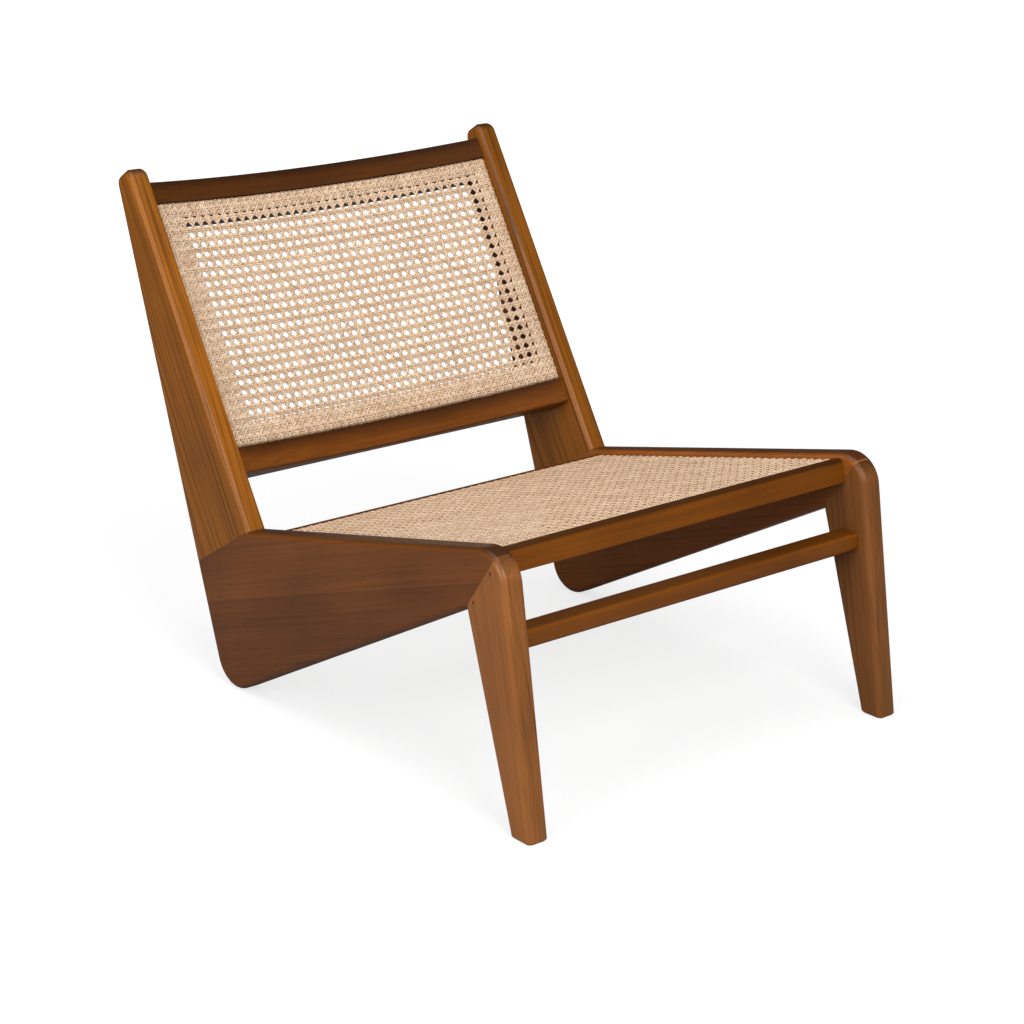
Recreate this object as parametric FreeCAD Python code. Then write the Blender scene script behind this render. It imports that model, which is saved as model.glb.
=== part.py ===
import FreeCAD, Part
import math
import os

# Low lounge chair with caned seat and back, in millimetres. X runs across the chair, Y from the
# front legs to the back, Z up. The origin is on the floor, under the middle of the chair's box.

# Side frames: a front leg, a side panel and a back upright, all of one board thickness
overall_width = 560.0
board_thickness = 28.0
edge_radius = 7.0
foot_length = 33.0
foot_chamfer = 2.0
knee_setback = 46.7
knee_height = 315.3
knee_radius = 38.0
crotch_setback = 105.6
crotch_height = 234.0
seat_pitch = 12.6
seat_edge_length = 486.3
back_pitch = 30.7
upright_length = 463.0
upright_top_depth = 32.0
upright_top_radius = 15.0
upright_crown_radius = 12.0
tail_reach = 560.5
tail_radius = 40.0

# Loose tenons in the mitre of leg and panel and in the joint of upright and panel
loose_tenon_thickness = 9.0
mitre_tenon_length = 32.0
mitre_tenon_width_share = 0.66
upright_tenon_length = 56.0
upright_tenon_width_share = 0.5
peg_width = 3.0
peg_offset = 4.5
peg_place_shares = (0.21, 0.79)

# Ends of the rails: stub tenons in mortises
tenon_wall = 1.5
tenon_height_share = 0.6
tenon_thickness_share = 0.5

# Seat rails and the stretcher between the front legs
seat_drop = 6.0
seat_rail_height = 28.5
seat_rail_depth = 30.0
seat_lip = 11.0
seat_rail_setback = 33.0
seat_rear_margin = 7.3
seat_rail_radius = 7.0
stretcher_setback = 47.5
stretcher_depth = 28.5
stretcher_height = 21.5
stretcher_low = 197.0
stretcher_radius = 5.0

# Back rails, bowed towards the back of the chair
back_recess = 9.0
back_bow = 21.0
back_rail_thickness = 18.0
bottom_rail_low = 71.0
bottom_rail_height = 32.0
top_rail_height = 27.5
back_rail_chamfer = 2.0

# Caned panels: a wooden frame with cane webbing over its front and round its edges
back_panel_height = 313.0
back_frame_thickness = 12.0
seat_frame_thickness = 15.0
frame_member_width = 26.0
frame_tongue_length = 16.0
tongue_inset_share = 0.25
tongue_thickness_share = 0.34
cane_thickness = 2.0
cane_edge_radius = 3.5
cane_roll_depth = 5.5
cane_gap_share = 0.54
back_cane_columns = 13
back_cane_rows = 7
seat_cane_columns = 11
seat_cane_rows = 8

# Cleats under the seat panel, and flat keys that hold the back panel to its rails
cleat_width = 18.0
cleat_gap = 2.0
key_width = 36.0
key_thickness = 4.0
key_length = 24.0
key_place_share = 0.45

# Clearances
joint_clearance = 0.15
curve_clearance = 0.3
panel_gap = 0.4
overrun = 5.0
tolerance = 0.01

# Values that follow from the sizes above
inner_half = overall_width / 2 - board_thickness
board_middle = overall_width / 2 - board_thickness / 2
rail_tenon_length = (board_thickness - loose_tenon_thickness) / 2 - tenon_wall
across = FreeCAD.Vector(1, 0, 0)


def spot(y, z):
    """Point or direction in the plane of a side frame."""
    return FreeCAD.Vector(0, y, z)


def turned(way, angle):
    """Direction turned by an angle in the plane of a side frame."""
    cosine = math.cos(angle)
    sine = math.sin(angle)
    return spot(way.y * cosine - way.z * sine, way.y * sine + way.z * cosine).normalize()


def crossing(start, way, other_start, other_way):
    """Point where two lines in the plane of a side frame meet."""
    apart = other_start - start
    spread = way.y * other_way.z - way.z * other_way.y
    run = (apart.y * other_way.z - apart.z * other_way.y) / spread
    return start + way * run


def tangent_way(start, centre, radius, side):
    """Direction from a point that touches a circle, on one side of its centre."""
    way = centre - start
    return turned(way, side * math.asin(radius / way.Length))


# Corners of the side frame, in its own plane
foot_front = spot(0, 0)
foot_back = spot(foot_length, 0)
crotch = spot(crotch_setback, crotch_height)
knee = spot(knee_setback, knee_height)
seat_way = turned(spot(1, 0), -math.radians(seat_pitch))
seat_corner = knee + seat_way * seat_edge_length
back_up = turned(spot(0, 1), -math.radians(back_pitch))
back_behind = turned(spot(1, 0), -math.radians(back_pitch))
top_front = seat_corner + back_up * upright_length
top_back = top_front + back_behind * upright_top_depth
tail_centre = spot(tail_reach, tail_radius)
under_way = tangent_way(crotch, tail_centre, tail_radius, -1)
rear_way = tangent_way(top_back, tail_centre, tail_radius, 1)
tail = crossing(crotch, under_way, top_back, rear_way)
upright_heel = crossing(seat_corner, back_behind, top_back, rear_way)
knee_half_angle = (foot_front - knee).getAngle(seat_way) / 2
knee_trim = knee_radius / math.sin(knee_half_angle) - knee_radius
mitre_top = knee + (crotch - knee).normalize() * knee_trim

seat_placement = FreeCAD.Placement(knee, FreeCAD.Rotation(across, -seat_pitch))
back_placement = FreeCAD.Placement(seat_corner, FreeCAD.Rotation(across, -back_pitch))


def block(low, high):
    """Box between two corners."""
    size = high - low
    return Part.makeBox(size.x, size.y, size.z, low)


def span(x_low, x_high, y_low, y_high, z_low, z_high):
    """Box between limits on each axis."""
    return block(FreeCAD.Vector(x_low, y_low, z_low), FreeCAD.Vector(x_high, y_high, z_high))


def placed(shape, placement):
    """Shape moved from the seat's or the back's own axes into the chair's."""
    moved = shape.copy()
    moved.Placement = placement.multiply(moved.Placement)
    return moved


def mirrored(shape):
    """Shape on the other side of the chair."""
    return shape.mirror(FreeCAD.Vector(0, 0, 0), across)


def both_sides(shape):
    """Shape with its mirror image."""
    return [shape, mirrored(shape)]


def rounded_outline(corners):
    """Closed wire through corners, each with its radius, as straight lines and arcs."""
    starts = []
    ends = []
    arcs = []
    for index, (corner, radius) in enumerate(corners):
        towards_last = (corners[index - 1][0] - corner).normalize()
        towards_next = (corners[(index + 1) % len(corners)][0] - corner).normalize()
        half_angle = towards_last.getAngle(towards_next) / 2
        trim = radius / math.tan(half_angle)
        starts.append(corner + towards_last * trim)
        ends.append(corner + towards_next * trim)
        inward = (towards_last + towards_next).normalize()
        arc_middle = corner + inward * (radius / math.sin(half_angle) - radius)
        arcs.append(Part.Arc(starts[-1], arc_middle, ends[-1]).toShape() if radius else None)
    edges = []
    for index, arc in enumerate(arcs):
        if arc:
            edges.append(arc)
        edges.append(Part.LineSegment(ends[index], starts[(index + 1) % len(starts)]).toShape())
    return Part.Wire(edges)


def side_blank():
    """Whole left side frame before its joints are cut, with rounded edges all round."""
    corners = [
        (foot_front, 0),
        (foot_back, 0),
        (crotch, 0),
        (tail, tail_radius),
        (top_back, upright_top_radius),
        (top_front, upright_top_radius),
        (seat_corner, 0),
        (knee, knee_radius),
    ]
    face = Part.Face(rounded_outline(corners))
    face.translate(across * inner_half)
    solid = face.extrude(across * board_thickness)
    rims = []
    for edge in solid.Edges:
        flat = all(abs(vertex.X - edge.Vertexes[0].X) < tolerance for vertex in edge.Vertexes)
        on_floor = all(vertex.Z < tolerance for vertex in edge.Vertexes)
        if flat and not on_floor:
            rims.append(edge)
    rounded = solid.makeFillet(edge_radius, rims)
    foot_rims = [e for e in rounded.Edges if all(v.Z < tolerance for v in e.Vertexes)]
    return rounded.makeChamfer(foot_chamfer, foot_rims).cut(crown_waste())


def crown_waste():
    """Corners that come off the top of the left upright to crown it across its thickness."""
    radius = upright_crown_radius
    depth = upright_top_depth + 2 * overrun
    corner = span(0, radius + overrun, -overrun, depth - overrun, 0, radius + overrun)
    rounding = Part.makeCylinder(radius, depth, spot(-overrun, 0), spot(1, 0))
    outer = corner.cut(rounding)
    centre = upright_length - radius
    inner = mirrored(outer)
    outer.translate(FreeCAD.Vector(overall_width / 2 - radius, 0, centre))
    inner.translate(FreeCAD.Vector(inner_half + radius, 0, centre))
    return [placed(outer, back_placement), placed(inner, back_placement)]


def beyond(start, end, side):
    """Wide slab whose edge is the line through two points, lying on one side of it."""
    reach = overall_width + seat_edge_length + upright_length
    way = (end - start).normalize()
    out = turned(way, side * math.pi / 2)
    points = [start - way * reach, start + way * reach]
    points += [points[1] + out * reach, points[0] + out * reach, points[0]]
    face = Part.Face(Part.makePolygon(points))
    return face.extrude(across * overall_width)


def tenon_plate(start, end, full_length, width_share, extra):
    """Flat loose tenon across the middle of a joint line, larger all round by an extra."""
    way = (end - start).normalize()
    width = (end - start).Length * width_share / 2 + extra
    length = full_length / 2 + extra
    thickness = loose_tenon_thickness / 2 + extra
    plate = span(-thickness, thickness, -length, length, -width, width)
    angle = math.degrees(math.atan2(way.z, way.y) - math.pi / 2)
    centre = (start + end) / 2 + across * board_middle
    return placed(plate, FreeCAD.Placement(centre, FreeCAD.Rotation(across, angle)))


def end_tenon(y_low, y_high, z_low, z_high, extra):
    """Stub tenon on the left end of a rail, in the middle of the rail's section."""
    half_y = (y_high - y_low) * tenon_thickness_share / 2 + extra
    half_z = (z_high - z_low) * tenon_height_share / 2 + extra
    y = (y_low + y_high) / 2
    z = (z_low + z_high) / 2
    reach = inner_half + rail_tenon_length + extra
    return span(inner_half, reach, y - half_y, y + half_y, z - half_z, z + half_z)


def long_edges(solid, test):
    """Edges that run across the chair and whose middle passes a test."""
    found = []
    for edge in solid.Edges:
        middle = edge.valueAt((edge.FirstParameter + edge.LastParameter) / 2)
        if edge.BoundBox.XLength > inner_half and test(middle):
            found.append(edge)
    return found


def straight_rail(section, radius, test):
    """Rail of a rectangular section from one side frame to the other, some edges rounded."""
    rail = span(-inner_half, inner_half, *section)
    rail = rail.makeFillet(radius, long_edges(rail, test))
    return rail


def bow_radius():
    """Radius of the back's bow at the front of the rails."""
    return (inner_half ** 2 + back_bow ** 2) / (2 * back_bow)


def bow_depth(x, behind):
    """How far behind the uprights' front edges the bow lies, at a place across the chair."""
    radius = bow_radius()
    return back_recess + back_bow - radius + math.sqrt((radius + behind) ** 2 - x ** 2)


def bow_arc(half_width, behind):
    """Arc of the bow across the back."""
    left = FreeCAD.Vector(half_width, bow_depth(half_width, behind), 0)
    middle = FreeCAD.Vector(0, bow_depth(0, behind), 0)
    right = FreeCAD.Vector(-half_width, bow_depth(half_width, behind), 0)
    return left, right, Part.Arc(left, middle, right).toShape()


def bowed_slab(half_width, front, behind, low, high):
    """Curved slab between two depths behind the rails' front, upright in the back's own axes."""
    left, right, front_arc = bow_arc(half_width, front)
    rear_left, rear_right, rear_arc = bow_arc(half_width, behind)
    sides = [Part.LineSegment(right, rear_right).toShape(), Part.LineSegment(rear_left, left).toShape()]
    face = Part.Face(Part.Wire([front_arc, sides[0], rear_arc, sides[1]]))
    face.translate(FreeCAD.Vector(0, 0, low))
    return face.extrude(FreeCAD.Vector(0, 0, high - low))


def flat_backed_slab(half_width, behind, low, high):
    """Slab with a bowed front and a straight back."""
    left, right, front_arc = bow_arc(half_width, 0)
    rear = back_recess + back_bow + behind
    rear_left = FreeCAD.Vector(half_width, rear, 0)
    rear_right = FreeCAD.Vector(-half_width, rear, 0)
    points = [right, rear_right, rear_left, left]
    lines = [Part.LineSegment(a, b).toShape() for a, b in zip(points, points[1:])]
    face = Part.Face(Part.Wire([front_arc] + lines))
    face.translate(FreeCAD.Vector(0, 0, low))
    return face.extrude(FreeCAD.Vector(0, 0, high - low))


def octagon_bar(width, length):
    """Eight-sided bar along Z that starts at the origin."""
    corner = width / (1 + math.sqrt(2)) / 2
    half = width / 2
    ring = [(half, corner), (corner, half), (-corner, half), (-half, corner)]
    ring += [(-a, -b) for a, b in ring]
    points = [FreeCAD.Vector(a, b, 0) for a, b in ring + ring[:1]]
    return Part.Face(Part.makePolygon(points)).extrude(spot(0, length))


def peg_bodies(extra):
    """Two whittled pegs through the leg's outer cheek into the loose tenon of the mitre."""
    mitre = mitre_top - crotch
    length = board_thickness / 2 + extra
    pegs = []
    for share in peg_place_shares:
        centre = crotch + mitre * share + turned(mitre, math.pi / 2) * peg_offset
        peg = octagon_bar(peg_width + 2 * extra, length)
        peg.rotate(FreeCAD.Vector(0, 0, 0), spot(1, 0), 90)
        peg.translate(centre + across * (overall_width / 2 - length))
        pegs.append(peg)
    return pegs


def net_bars(half_width, low, high, columns, rows, length):
    """Eight-sided bars along Z for the gaps of a cane net, spread evenly over an opening."""
    step_x = 2 * half_width / columns
    step_y = (high - low) / rows
    width = min(step_x, step_y) * cane_gap_share
    bars = []
    for column in range(columns):
        x = (column + 0.5) * step_x - half_width
        for row in range(rows):
            bar = octagon_bar(width, length)
            bar.translate(FreeCAD.Vector(x, low + (row + 0.5) * step_y, 0))
            bars.append(bar)
    return bars


# Limits of the seat in its own axes: across, along the side panels' top edge, square to it
seat_top = -seat_drop
seat_low = seat_top - seat_rail_height
seat_ledge = seat_top - cane_thickness - curve_clearance - seat_frame_thickness
front_rail_back = seat_rail_setback + seat_rail_depth
rear_rail_back = seat_edge_length - seat_rear_margin
rear_rail_front = rear_rail_back - seat_rail_depth
seat_cane_half = inner_half - panel_gap
seat_cane_front = seat_rail_setback + seat_lip + panel_gap
seat_cane_rear = rear_rail_back - seat_lip - panel_gap
cane_inset = cane_thickness + curve_clearance

# Limits of the back in its own axes: across, behind the uprights' front edge, along it
panel_low = bottom_rail_low + bottom_rail_height
panel_high = panel_low + back_panel_height
back_cane_half = inner_half - panel_gap
back_cane_low = panel_low + panel_gap
back_cane_high = panel_high - panel_gap


def seat_front_section():
    return (seat_rail_setback, front_rail_back, seat_low, seat_top)


def seat_rear_section():
    return (rear_rail_front, rear_rail_back, seat_low, seat_top)


def stretcher_section():
    return (
        stretcher_setback,
        stretcher_setback + stretcher_depth,
        stretcher_low,
        stretcher_low + stretcher_height,
    )


def ledge_section(section):
    """Part of a seat rail below the panel that it carries, for its tenons."""
    return (section[0], section[1], section[2], seat_ledge)


def back_rail_section(low, height):
    return (back_recess, back_recess + back_rail_thickness, low, low + height)


def rail_ends():
    """Mortises or tenons of every rail on the left side, by node, as (section, placement)."""
    flat = FreeCAD.Placement()
    return {
        "seat_front_rail": (ledge_section(seat_front_section()), seat_placement),
        "seat_back_rail": (ledge_section(seat_rear_section()), seat_placement),
        "front_stretcher": (stretcher_section(), flat),
        "back_bottom_rail": (back_rail_section(bottom_rail_low, bottom_rail_height), back_placement),
        "back_top_rail": (back_rail_section(panel_high, top_rail_height), back_placement),
    }


def tenons(node, extra):
    section, placement = rail_ends()[node]
    return placed(end_tenon(*section, extra), placement)


def with_tenons(rail, node):
    """Rail with its stub tenons on both ends."""
    return rail.fuse(both_sides(tenons(node, 0))).removeSplitter()


def seat_rails():
    """Front and back seat rails, each with a ledge that the caned panel rests on."""
    def front_edge(middle):
        return middle.y < seat_rail_setback + tolerance and middle.z > seat_top - tolerance

    def rear_edge(middle):
        return middle.y > rear_rail_back - tolerance and middle.z > seat_top - tolerance

    front = straight_rail(seat_front_section(), seat_rail_radius, front_edge)
    rear = straight_rail(seat_rear_section(), seat_rail_radius, rear_edge)
    wide = inner_half + overrun
    bed_front = seat_rail_setback + seat_lip
    bed_rear = rear_rail_back - seat_lip
    bed = span(-wide, wide, bed_front, bed_rear, seat_ledge, seat_top + overrun)
    return {
        "seat_front_rail": with_tenons(placed(front.cut(bed), seat_placement), "seat_front_rail"),
        "seat_back_rail": with_tenons(placed(rear.cut(bed), seat_placement), "seat_back_rail"),
    }


def stretcher():
    rail = straight_rail(stretcher_section(), stretcher_radius, lambda middle: True)
    return with_tenons(rail, "front_stretcher")


def keys(extra):
    """Flat keys between the caned back panel and its rails, in the back's own axes."""
    half = key_width / 2 + extra
    length = key_length / 2 + extra
    thickness = key_thickness / 2 + extra
    depth = bow_depth(0, cane_inset + back_frame_thickness / 2)
    bow_centre = spot(back_recess + back_bow - bow_radius(), 0)
    turn = math.degrees(math.asin(inner_half * key_place_share / bow_radius()))
    flat_keys = []
    for joint in (panel_low, panel_high):
        for angle in (turn, -turn):
            key = span(-half, half, depth - thickness, depth + thickness, joint - length, joint + length)
            key.rotate(bow_centre, spot(0, 1), angle)
            flat_keys.append(key)
    return flat_keys


def back_rails():
    """Bowed rails above and below the back panel, the lower one with a straight back."""
    lower = flat_backed_slab(inner_half, back_rail_thickness, bottom_rail_low, panel_low)
    upper = bowed_slab(inner_half, 0, back_rail_thickness, panel_high, panel_high + top_rail_height)
    rails = {}
    for node, rail, free in (
        ("back_bottom_rail", lower, bottom_rail_low),
        ("back_top_rail", upper, panel_high + top_rail_height),
    ):
        edges = long_edges(rail, lambda middle: abs(middle.z - free) < tolerance)
        rail = rail.makeChamfer(back_rail_chamfer, edges)
        rail = rail.cut(keys(joint_clearance))
        rails[node] = with_tenons(placed(rail, back_placement), node)
    return rails


def back_frame():
    """Four members of the bowed back frame, the short ones tongued into the stiles."""
    half = back_cane_half - cane_inset
    low = back_cane_low + cane_inset
    high = back_cane_high - cane_inset
    front = cane_inset
    rear = cane_inset + back_frame_thickness
    slab = bowed_slab(half, front, rear, low, high)
    cheek = back_frame_thickness * (1 - tongue_thickness_share) / 2
    tongue = bowed_slab(half, front + cheek, rear - cheek, low, high)
    groove = bowed_slab(half, front + cheek - curve_clearance, rear - cheek + curve_clearance, low, high)
    inset = frame_member_width * tongue_inset_share
    deep = overall_width
    stile_in = half - frame_member_width
    stile_zone = span(stile_in, half + overrun, -deep, deep, low - overrun, high + overrun)
    pieces = {}
    stile = slab.common(stile_zone)
    for name, z_low, z_high in (
        ("bottom", low, low + frame_member_width),
        ("top", high - frame_member_width, high),
    ):
        room = span(-stile_in, stile_in, -deep, deep, z_low, z_high)
        reach = stile_in + frame_tongue_length
        tongue_room = span(-reach, reach, -deep, deep, z_low + inset, z_high - inset)
        groove_reach = reach + joint_clearance
        groove_room = span(
            -groove_reach, groove_reach, -deep, deep,
            z_low + inset - joint_clearance, z_high - inset + joint_clearance,
        )
        member = slab.common(room).fuse(tongue.common(tongue_room)).removeSplitter()
        stile = stile.cut(groove.common(groove_room))
        pieces["back_frame_" + name] = placed(member.cut(keys(joint_clearance)), back_placement)
    pieces["back_frame_stile_left"] = placed(stile, back_placement)
    pieces["back_frame_stile_right"] = mirrored(placed(stile, back_placement))
    return pieces


def strip_angles():
    """Angles round the bow's centre where the flat strips of the back's net meet."""
    radius = bow_radius()
    end = math.asin(back_cane_half / (radius + cane_roll_depth))
    open_half = back_cane_half - cane_inset - frame_member_width
    step = 2 * open_half / back_cane_columns
    joins = [math.asin((open_half - index * step) / radius) for index in range(back_cane_columns + 1)]
    return [end] + joins + [-end]


def strip_slab(front, behind, low, high):
    """Slab that follows the bow in flat strips, one for each column of the back's net."""
    rims = []
    for depth in (front, behind):
        radius = bow_radius() + depth
        centre = bow_depth(0, depth) - radius
        rims.append([
            FreeCAD.Vector(radius * math.sin(angle), centre + radius * math.cos(angle), low)
            for angle in strip_angles()
        ])
    ring = rims[0] + rims[1][::-1] + rims[0][:1]
    return Part.Face(Part.makePolygon(ring)).extrude(spot(0, high - low))


def outer_edges(faces):
    """Edges round the outside of a group of faces that meet."""
    found = {}
    for face in faces:
        for edge in face.Edges:
            found.setdefault(edge.hashCode(), []).append(edge)
    return [edges[0] for edges in found.values() if len(edges) == 1]


def faces_forward(face, half_width):
    """Whether a face of an upright slab is one of the strips on its front."""
    centre = face.CenterOfMass
    upright = abs(face.normalAt(0, 0).z) < tolerance
    return upright and abs(centre.x) < half_width and centre.y < bow_depth(centre.x, tolerance)


def bow_sector(start, end):
    """Wedge between two angles round the bow's centre, as high as the uprights."""
    centre = spot(back_recess + back_bow - bow_radius(), 0)
    reach = bow_radius() + overall_width
    rim = [centre + FreeCAD.Vector(math.sin(angle), math.cos(angle), 0) * reach for angle in (start, end)]
    face = Part.Face(Part.makePolygon([centre] + rim + [centre]))
    return face.extrude(spot(0, upright_length))


def back_cane():
    """Cane net of the back, rolled over its frame's edges, in three bands that follow the bow."""
    shell = strip_slab(0, cane_roll_depth, back_cane_low, back_cane_high)
    half = back_cane_half - cane_inset
    low = back_cane_low + cane_thickness
    high = back_cane_high - cane_thickness
    fronts = [face for face in shell.Faces if faces_forward(face, half)]
    shell = shell.makeFillet(cane_edge_radius, outer_edges(fronts))
    room = strip_slab(cane_thickness, cane_roll_depth + overrun, low, high)
    deep = overall_width
    shell = shell.cut(room.common(span(-half, half, -deep, deep, low, high)))
    open_half = half - frame_member_width
    open_low = back_cane_low + cane_inset + frame_member_width
    open_high = back_cane_high - cane_inset - frame_member_width
    length = back_bow + cane_roll_depth + 2 * overrun
    bars = net_bars(open_half, open_low, open_high, back_cane_columns, back_cane_rows, length)
    for bar in bars:
        bar.rotate(FreeCAD.Vector(0, 0, 0), across, 90)
        bar.translate(spot(back_recess - overrun + length, 0))
    net = shell.cut(bars)
    joins = strip_angles()
    third = len(joins) // 3
    limits = [2 * joins[0], joins[third], joins[-third - 1], 2 * joins[-1]]
    bands = {}
    for name, start, end in zip(("back_cane_left", "back_cane", "back_cane_right"), limits, limits[1:]):
        bands[name] = placed(net.common(bow_sector(start, end)), back_placement)
    return bands


def seat_frame_limits():
    return (
        seat_cane_half - cane_inset,
        seat_cane_front + cane_inset,
        seat_cane_rear - cane_inset,
        seat_top - cane_inset,
    )


def seat_frame():
    """Four members of the flat seat frame, the short ones tongued into the sides."""
    half, front, rear, top = seat_frame_limits()
    low = top - seat_frame_thickness
    cheek = seat_frame_thickness * (1 - tongue_thickness_share) / 2
    inset = frame_member_width * tongue_inset_share
    side_in = half - frame_member_width
    side = span(side_in, half, front, rear, low, top)
    pieces = {}
    for name, y_low, y_high in (
        ("front", front, front + frame_member_width),
        ("back", rear - frame_member_width, rear),
    ):
        room = span(-side_in, side_in, y_low, y_high, low, top)
        reach = side_in + frame_tongue_length
        tongue = span(-reach, reach, y_low + inset, y_high - inset, low + cheek, top - cheek)
        wide = reach + joint_clearance
        groove = span(
            -wide, wide, y_low + inset - joint_clearance, y_high - inset + joint_clearance,
            low + cheek - joint_clearance, top - cheek + joint_clearance,
        )
        pieces["seat_frame_" + name] = placed(room.fuse(tongue).removeSplitter(), seat_placement)
        side = side.cut(groove)
    side = placed(side, seat_placement)
    pieces["seat_frame_side_left"] = side
    pieces["seat_frame_side_right"] = mirrored(side)
    return pieces


def seat_cane():
    """Flat cane net of the seat, rolled round the edges of its frame."""
    wrap = seat_top - cane_roll_depth
    shell = span(-seat_cane_half, seat_cane_half, seat_cane_front, seat_cane_rear, wrap, seat_top)
    top = max(shell.Faces, key=lambda face: face.CenterOfMass.z)
    shell = shell.makeFillet(cane_edge_radius, top.Edges)
    half = seat_cane_half - cane_thickness
    front = seat_cane_front + cane_thickness
    rear = seat_cane_rear - cane_thickness
    shell = shell.cut(span(-half, half, front, rear, wrap - overrun, seat_top - cane_thickness))
    frame_half, frame_front, frame_rear, frame_top = seat_frame_limits()
    open_half = frame_half - frame_member_width
    open_front = frame_front + frame_member_width
    open_rear = frame_rear - frame_member_width
    length = cane_inset + 2 * overrun
    bars = net_bars(open_half, open_front, open_rear, seat_cane_columns, seat_cane_rows, length)
    for bar in bars:
        bar.translate(spot(0, frame_top - overrun))
    return placed(shell.cut(bars), seat_placement)


def cleat_limits():
    return front_rail_back + cleat_gap, rear_rail_front - cleat_gap


def cleat():
    """Left seat cleat, level with the ledges of the seat rails."""
    front, rear = cleat_limits()
    bar = span(inner_half - cleat_width, inner_half, front, rear, seat_low, seat_ledge)
    return placed(bar, seat_placement)


def side_boards():
    """Leg, side panel and upright of the left side, with every pocket that they need."""
    blank = side_blank()
    mitre = (crotch, mitre_top, mitre_tenon_length, mitre_tenon_width_share)
    shoulder = (seat_corner, upright_heel, upright_tenon_length, upright_tenon_width_share)
    mitre_pocket = tenon_plate(*mitre, joint_clearance)
    shoulder_pocket = tenon_plate(*shoulder, joint_clearance)
    mortises = [tenons(node, joint_clearance) for node in rail_ends()]
    pockets = [mitre_pocket, shoulder_pocket] + mortises + peg_bodies(joint_clearance)
    leg_side = beyond(crotch, knee, 1)
    upright_side = beyond(seat_corner, upright_heel, 1)
    return {
        "front_leg": blank.common(leg_side).cut(pockets),
        "side_panel": blank.cut([leg_side, upright_side]).cut(pockets),
        "back_upright": blank.common(upright_side).cut(pockets),
        "mitre_tenon": tenon_plate(*mitre, 0).cut(peg_bodies(joint_clearance)),
        "upright_tenon": tenon_plate(*shoulder, 0),
        "seat_cleat": cleat(),
    }


def all_nodes():
    """Every piece of the chair by its name."""
    nodes = {}
    for name, shape in side_boards().items():
        nodes[name + "_left"] = shape
        nodes[name + "_right"] = mirrored(shape)
    nodes.update(seat_rails())
    nodes["front_stretcher"] = stretcher()
    nodes.update(back_rails())
    nodes.update(back_frame())
    nodes.update(back_cane())
    nodes.update(seat_frame())
    nodes["seat_cane"] = seat_cane()
    nodes["mitre_pegs"] = Part.makeCompound([copy for peg in peg_bodies(0) for copy in both_sides(peg)])
    nodes["back_keys"] = placed(Part.makeCompound(keys(0)), back_placement)
    return nodes


def middle_of_depth():
    """Middle between the front of the feet, above their chamfers, and the rear of the top rail."""
    front = foot_front + (knee - foot_front).normalize() * foot_chamfer
    behind = bow_depth(0, back_rail_thickness)
    height = panel_high + top_rail_height - back_rail_chamfer
    rear = seat_corner + back_behind * behind + back_up * height
    return (front.y + rear.y) / 2


nodes = all_nodes()
shift = spot(-middle_of_depth(), 0)
os.makedirs("parts", exist_ok=True)
for name, shape in nodes.items():
    shape.translate(shift)
    shape.exportStep(os.path.join("parts", name + ".step"))
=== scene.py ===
import math
import random

import bmesh
import bpy
from mathutils import Matrix, Vector


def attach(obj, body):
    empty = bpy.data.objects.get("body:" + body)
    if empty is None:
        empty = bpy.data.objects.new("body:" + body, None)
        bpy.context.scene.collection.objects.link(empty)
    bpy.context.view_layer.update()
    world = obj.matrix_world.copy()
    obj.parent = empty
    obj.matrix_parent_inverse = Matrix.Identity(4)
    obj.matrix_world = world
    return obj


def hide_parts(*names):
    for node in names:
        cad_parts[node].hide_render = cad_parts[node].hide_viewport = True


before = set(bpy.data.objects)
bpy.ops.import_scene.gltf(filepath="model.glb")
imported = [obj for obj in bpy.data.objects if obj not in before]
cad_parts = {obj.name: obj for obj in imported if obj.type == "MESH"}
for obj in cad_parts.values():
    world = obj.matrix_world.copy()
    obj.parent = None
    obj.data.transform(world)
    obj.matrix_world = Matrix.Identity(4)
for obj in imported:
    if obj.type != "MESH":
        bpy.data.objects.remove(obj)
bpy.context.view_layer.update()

bl_info = {
    "name": "Caned lounge chair",
    "version": (1, 0, 0),
    "blender": (4, 5, 0),
    "location": "View3D > Sidebar > Chair",
    "description": "Finishes the boards and weaves the cane of a low lounge chair on its packed frame",
    "category": "Object",
}

SIDES = ("left", "right")
BACK_CANE = sorted(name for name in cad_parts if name.startswith("back_cane"))
SEAT_CANE = sorted(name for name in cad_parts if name.startswith("seat_cane"))
CANE_FRAMES = sorted(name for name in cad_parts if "_frame_" in name)
INNER_JOINERY = sorted(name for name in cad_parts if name.endswith("_keys") or "_tenon_" in name)


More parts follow.
